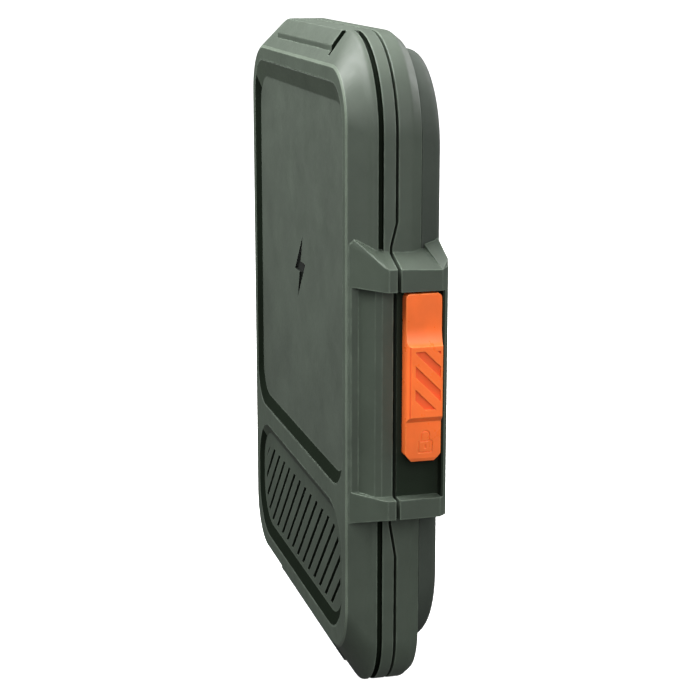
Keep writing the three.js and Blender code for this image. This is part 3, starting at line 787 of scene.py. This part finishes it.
def moulded(name, colour, roughness=0.5, grain=0.3, depth=0.012, pebble=None, wear_and_highlight=0.35, gloss=0.5):
    """Moulded plastic: fine grain, faint clouding, and edges painted lighter as a highlight, broken up like
    wear.
    """
    look = Look(name)
    dark = shade(colour, 0.86)
    light = shade(colour, 1.12)
    # painted highlight: the edges get this lighter colour, broken up by noise like wear
    edge = tuple(min(1.0, c * 2.2 + 0.02) for c in colour[:3]) + (1.0,)
    look.shader.inputs["Specular IOR Level"].default_value = gloss
    clouds = look.span(look.noise(9, 4), 0.3, 0.7, 0.0, 1.0)
    base = look.mix(clouds, dark, light)
    edge_mask = look.edges(0.35)
    edge_highlight = look.maths("MULTIPLY", edge_mask, look.span(look.noise(3, 4), 0.35, 0.65, 0.2, wear_and_highlight * 2))
    look.link(look.mix(edge_highlight, base, edge), look.shader.inputs["Base Color"])
    mottled = look.span(look.noise(2.5, 5), 0.3, 0.7, roughness - 0.06, roughness + 0.07)
    look.link(mottled, look.shader.inputs["Roughness"])
    layers = [(look.noise(grain, 2), depth)]
    if pebble:
        size, high = pebble
        layers.append((look.cells(size), high))
        layers.append((look.noise(size * 2.2, 4), high * 0.8))
    look.bump(*layers)
    return look.material


def metal(name, colour, roughness=0.3, brushed=(1, 1, 1)):
    """Metal with fine scratches, stretched along an axis where it is brushed."""
    look = Look(name)
    look.shader.inputs["Metallic"].default_value = 1.0
    dark = shade(colour, 0.8)
    look.link(look.mix(look.noise(1.5, 5), dark, colour), look.shader.inputs["Base Color"])
    scratch = look.noise(0.4, 4, stretch=brushed)
    look.link(look.span(scratch, 0.3, 0.7, roughness * 0.7, roughness * 1.4), look.shader.inputs["Roughness"])
    look.bump((scratch, 0.002))
    return look.material


LOOKS = {
    "case_plastic": moulded("case_plastic", srgb(66, 75, 65), 0.56, 0.22, 0.008, wear_and_highlight=0.6, gloss=0.4),
    "panel_skin": moulded(
        "panel_skin", srgb(68, 76, 67), 0.62, 0.25, 0.008, pebble=(1.1, 0.008), wear_and_highlight=0.1, gloss=0.4
    ),
    "grip_plastic": moulded("grip_plastic", srgb(62, 71, 61), 0.56, 0.22, 0.008, gloss=0.4),
    "pad_silicone": moulded("pad_silicone", srgb(56, 63, 56), 0.66, 0.16, 0.006, wear_and_highlight=0.1, gloss=0.35),
    "lock_plastic": moulded("lock_plastic", srgb(255, 118, 54), 0.3, 0.18, 0.004, wear_and_highlight=0.12),
    "hatch_shade": moulded("hatch_shade", srgb(232, 92, 38), 0.45, 0.18, 0.004, wear_and_highlight=0.05),
    "lit_recess_wall": moulded("lit_recess_wall", srgb(62, 71, 60), 0.6, 0.2, 0.006, wear_and_highlight=0.05, gloss=0.3),
    "shadow_wall": moulded("shadow_wall", srgb(16, 23, 15), 0.8, 0.2, 0.006, wear_and_highlight=0.02, gloss=0.05),
    "groove_shade": moulded("groove_shade", srgb(30, 38, 29), 0.7, 0.2, 0.006, wear_and_highlight=0.05, gloss=0.1),
    "rim_highlight": moulded("rim_highlight", srgb(92, 102, 90), 0.45, 0.2, 0.006, wear_and_highlight=0.3),
    "bolt_gloss": moulded("bolt_gloss", srgb(20, 24, 20), 0.22, 0.3, 0.003, wear_and_highlight=0.2),
    "steel": metal("steel", srgb(190, 192, 195), 0.28, (1, 1, 0.05)),
    "magnet": metal("magnet", srgb(200, 202, 206), 0.2),
    "copper": metal("copper", srgb(205, 120, 70), 0.3),
    "gold": metal("gold", srgb(226, 180, 92), 0.25),
    "ferrite": moulded("ferrite", srgb(38, 38, 40), 0.6, 0.1, 0.004),
    "circuit_board": moulded("circuit_board", srgb(22, 74, 46), 0.35, 0.15, 0.002, wear_and_highlight=0.3),
    "chip": moulded("chip", srgb(26, 27, 29), 0.45, 0.08, 0.002),
    "cell_foil": moulded(
        "cell_foil", srgb(168, 172, 176), 0.36, 0.5, 0.004, pebble=(5.0, 0.03), wear_and_highlight=0.1
    ),
    "pouch_tape": moulded("pouch_tape", srgb(214, 140, 40), 0.25, 0.4, 0.004, wear_and_highlight=0.05),
    "foam": moulded("foam", srgb(34, 36, 38), 0.95, 0.25, 0.08, wear_and_highlight=0.05),
    "ribbon": moulded("ribbon", srgb(222, 222, 214), 0.8, 0.2, 0.02, wear_and_highlight=0.05),
    "light_guide": moulded("light_guide", srgb(226, 232, 234), 0.2, 0.5, 0.002, wear_and_highlight=0.05),
}


# ---- Pieces -----------------------------------------------------------------------------------------

def shaded(made, angle=32.0):
    """Smooth shading that keeps edges sharper than the angle, with flats kept flat."""

    def work(bm):
        for face in bm.faces:
            face.smooth = True
        for edge in bm.edges:
            edge.smooth = len(edge.link_faces) == 2 and edge.calc_face_angle(0.0) < math.radians(angle)

    edit(made, work)
    modifier = made.modifiers.new("weighted", "WEIGHTED_NORMAL")
    modifier.keep_sharp = True
    modifier.weight = 50
    return baked(made)


def piece(made, name, body, slot, stands_for=(), extra=(), crease=32.0, look=None):
    """Turns a shape in case millimetres into a finished piece that rides on a body."""
    made.name = name
    made.data.transform(Matrix.Translation((CASE_X, 0, 0)) @ Matrix.Scale(MM, 4))
    made.data.materials.clear()
    for chosen in (look or slot, *extra):
        made.data.materials.append(LOOKS[chosen])
    shaded(made, crease)
    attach(made, body)
    if stands_for:
        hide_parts(*stands_for)
    return made


def paint(made, look, chosen):
    """Gives a look to the faces that are chosen by their middle and their corners."""
    index = list(made.data.materials).index(LOOKS[look])

    def placed(point):
        return Vector(((point.x - CASE_X) / MM, point.y / MM, point.z / MM))

    for face in made.data.polygons:
        corners = [placed(made.data.vertices[i].co) for i in face.vertices]
        if chosen(placed(face.center), corners):
            face.material_index = index


def depth_inside(at):
    """How far a point lies inside the case's outline."""
    radius = CORNER["high"] if at.z > HEIGHT / 2 else CORNER["low"]
    past_x = abs(at.x) - (SIDE - radius)
    past_z = max(at.z - (HEIGHT - radius), radius - at.z)
    if past_x > 0 and past_z > 0:
        return radius - math.hypot(past_x, past_z)
    return min(SIDE - abs(at.x), at.z, HEIGHT - at.z)


def in_groove(_, corners):
    """Chooses the shadow groove's walls and floor."""
    low, high = GROOVE["y"]
    depths = [depth_inside(at) for at in corners]
    level = all(low - 0.02 < at.y < high + 0.02 for at in corners)
    return level and max(depths) > 0.3 and max(depths) < 1.1


def in_slot(_, corners):
    """Chooses the slots beside the end tabs."""
    near_end = all(at.z < 5 or at.z > HEIGHT - 5 for at in corners)
    low, high = TAB_HALF - 0.02, TAB_HALF + TAB_SLOT + 0.02
    return near_end and all(low < at.x < high and at.y < -2.9 for at in corners)


def on_chamfer(_, corners):
    """Chooses the narrow chamfer round the lid's face, which gets a painted highlight."""
    outer = all(at.y < -6.87 and depth_inside(at) < 6.6 for at in corners)
    return outer and max(at.y for at in corners) > -6.95


def in_channel(_, corners):
    """Chooses the walls and floor of the slider's channel, which get painted shade."""
    return all(34.2 < at.x < 36.55 and -3.9 < at.y < 5.9 and 31.4 < at.z < 62.9 for at in corners)


def in_bolt(at, _):
    """Chooses the floor and walls of the bolt mark."""
    return abs(at.x) < 5 and 53 < at.z < 67 and PANEL_FLOOR_Y + 0.02 < at.y < -6


def on_hatch(at, corners):
    """Chooses the floors of the slider's hatched grooves, which get painted shade."""
    low, high = LOCK_REACH - 0.35, LOCK_REACH - 0.05
    return all(low < c.x < high for c in corners) and 45 < at.z < 54.2


def on_wall(floor_y, above=0.0):
    """Chooses an inlay's sloping walls, above a height."""
    return lambda at, _: FRONT_Y + 0.1 < at.y < floor_y - 0.03 and at.z > above


lid = piece(front_cover(), "lid_shell", "cover", "case_plastic", ["front_cover"], ["shadow_wall", "rim_highlight"])
paint(lid, "shadow_wall", lambda *face: in_groove(*face) or in_slot(*face))
# The chamfer round the lid's face gets a painted highlight.
paint(lid, "rim_highlight", on_chamfer)
tray = piece(rear_shell(), "tray_shell", "tray", "case_plastic", ["rear_shell"], ["groove_shade"])
# The slider's channel gets painted shade.
paint(tray, "groove_shade", in_channel)
piece(rear_pad(), "back_pad", "tray", "pad_silicone", ["rear_pad"])

panel = cleaned(cut(inlay(PANEL, PANEL_FLOOR, PANEL_FLOOR_Y), bolt_mark()))
looks = ["lit_recess_wall", "shadow_wall", "bolt_gloss"]
panel = piece(panel, "panel_inlay", "cover", "panel_skin", ["front_panel"], looks, crease=8)
# All the walls get a painted shadow, then the upper wall a lighter, lit tone over it.
paint(panel, "shadow_wall", on_wall(PANEL_FLOOR_Y))
paint(panel, "lit_recess_wall", on_wall(PANEL_FLOOR_Y, PANEL_FLOOR["high"] - 1))
paint(panel, "bolt_gloss", in_bolt)

grip = cleaned(cut(inlay(GRIP, GRIP_FLOOR, GRIP_FLOOR_Y), grip_grooves()))
looks = ["shadow_wall", "groove_shade", "lit_recess_wall"]
grip = piece(grip, "grip_inlay", "cover", "grip_plastic", ["grip_panel"], looks, crease=8)
# All the walls get a painted shadow, then the upper wall a lighter, lit tone over it.
paint(grip, "shadow_wall", on_wall(GRIP_FLOOR_Y))
paint(grip, "lit_recess_wall", on_wall(GRIP_FLOOR_Y, GRIP_FLOOR["high"] - 1))
# The grip's grooves get painted shade.
paint(grip, "groove_shade", lambda at, _: GRIP_FLOOR_Y + 0.05 < at.y < -6.05)

slider = piece(lock_slider(), "lock_thumb_slider", "lock", "lock_plastic", ["lock_slider"], ["hatch_shade"])
# The hatch grooves' floors get painted shade.
paint(slider, "hatch_shade", on_hatch)

piece(battery_pouch(), "battery_pouch", "tray", "cell_foil", ["battery_cell"])
piece(pouch_tape(), "pouch_tape", "tray", "ribbon", look="pouch_tape")
piece(board_parts(), "board_parts", "tray", "chip")
foam = piece(foam_pad(), "foam_pad", "cover", "foam", ["cover_foam"])

SLOT_OF = {part["node"]: part["material_slot"] for part in frame["record"]["subparts"]}
for name, node in frame["nodes"].items():
    if node.hide_render:
        continue
    node.data.materials.clear()
    node.data.materials.append(LOOKS[SLOT_OF[name]])
    rounding = node.modifiers.new("bevel", "BEVEL")
    rounding.width = 0.06 * MM
    rounding.segments = 2
    rounding.limit_method = "ANGLE"
    rounding.angle_limit = math.radians(35)


# ---- Stage ------------------------------------------------------------------------------------------

FLOOR_GLOW = 1.0


def stage():
    """A pale glowing floor that throws no light on the object."""
    half = 12.0
    corners = [(-half, -half, 0), (half, -half, 0), (half, half, 0), (-half, half, 0)]
    mesh = bpy.data.meshes.new("floor")
    mesh.from_pydata(corners, [], [(0, 1, 2, 3)])
    floor = bpy.data.objects.new("floor", mesh)
    bpy.context.scene.collection.objects.link(floor)
    floor.visible_diffuse = False
    floor.visible_glossy = False
    look = Look("floor")
    look.shader.inputs["Roughness"].default_value = 0.9
    pale = look.mix(look.noise(60, 2), (0.86, 0.86, 0.86, 1), (0.9, 0.9, 0.9, 1))
    look.link(pale, look.shader.inputs["Base Color"])
    look.shader.inputs["Emission Color"].default_value = (1, 1, 1, 1)
    look.shader.inputs["Emission Strength"].default_value = FLOOR_GLOW
    mesh.materials.append(look.material)


def light(name, place, aim, size, power):
    """A soft square light, aimed at a point."""
    data = bpy.data.lights.new(name, "AREA")
    data.size = size
    data.energy = power
    made = bpy.data.objects.new(name, data)
    made.location = place
    made.rotation_euler = (Vector(aim) - Vector(place)).to_track_quat("-Z", "Y").to_euler()
    bpy.context.scene.collection.objects.link(made)


def sky(ground, horizon, zenith):
    """A dark room with a bright ceiling, which the camera sees as plain white."""
    world = bpy.data.worlds.new("sky")
    bpy.context.scene.world = world
    world.use_nodes = True
    tree = world.node_tree
    tree.nodes.clear()

    def node(kind):
        return tree.nodes.new(kind)

    height = node("ShaderNodeSeparateXYZ")
    tree.links.new(node("ShaderNodeTexCoord").outputs["Generated"], height.inputs[0])
    ramp = node("ShaderNodeValToRGB")
    share = node("ShaderNodeMapRange")
    share.inputs[1].default_value = -1.0
    tree.links.new(height.outputs["Z"], share.inputs[0])
    tree.links.new(share.outputs[0], ramp.inputs[0])
    ramp.color_ramp.elements[0].color = (ground, ground, ground, 1)
    ramp.color_ramp.elements[1].color = (zenith, zenith, zenith, 1)
    middle = ramp.color_ramp.elements.new(0.52)
    middle.color = (horizon, horizon, horizon, 1)
    room = node("ShaderNodeBackground")
    tree.links.new(ramp.outputs[0], room.inputs[0])
    white = node("ShaderNodeBackground")
    white.inputs[0].default_value = (1, 1, 1, 1)
    choice = node("ShaderNodeMixShader")
    tree.links.new(node("ShaderNodeLightPath").outputs["Is Camera Ray"], choice.inputs[0])
    tree.links.new(room.outputs[0], choice.inputs[1])
    tree.links.new(white.outputs[0], choice.inputs[2])
    tree.links.new(choice.outputs[0], node("ShaderNodeOutputWorld").inputs[0])


CENTRE = (CAD_BOX[0] + CAD_BOX[1]) / 2
AIM = CENTRE + Vector((0, 1.4, -2.7)) * MM
CAMERA = {"azimuth": 75.06, "elevation": 13.07, "distance": 0.2891, "lens": 92.9}


def camera():
    """A long lens aimed at the case from its lock side."""
    data = bpy.data.cameras.new("camera")
    data.lens = CAMERA["lens"]
    data.sensor_width = 36
    data.clip_start = 0.01
    made = bpy.data.objects.new("camera", data)
    azimuth, elevation = (math.radians(CAMERA[k]) for k in ("azimuth", "elevation"))
    level = math.cos(elevation)
    back = Vector((math.sin(azimuth) * level, -math.cos(azimuth) * level, math.sin(elevation)))
    made.location = AIM + back * CAMERA["distance"]
    made.rotation_euler = (-back).to_track_quat("-Z", "Y").to_euler()
    bpy.context.scene.collection.objects.link(made)
    bpy.context.scene.camera = made


stage()
sky(ground=0.25, horizon=0.04, zenith=0.55)
light("top_softbox", (-0.02, -0.11, 0.29), CENTRE, 0.20, 2.0)
light("side_softbox", (0.50, -0.05, 0.30), CENTRE, 0.45, 2.2)
light("back_softbox", (-0.2, 0.5, 0.35), CENTRE, 0.40, 3.0)
light("rear_softbox", (0.40, 0.45, 0.25), CENTRE, 0.30, 0.7)
camera()
bpy.context.scene.view_settings.view_transform = "Standard"
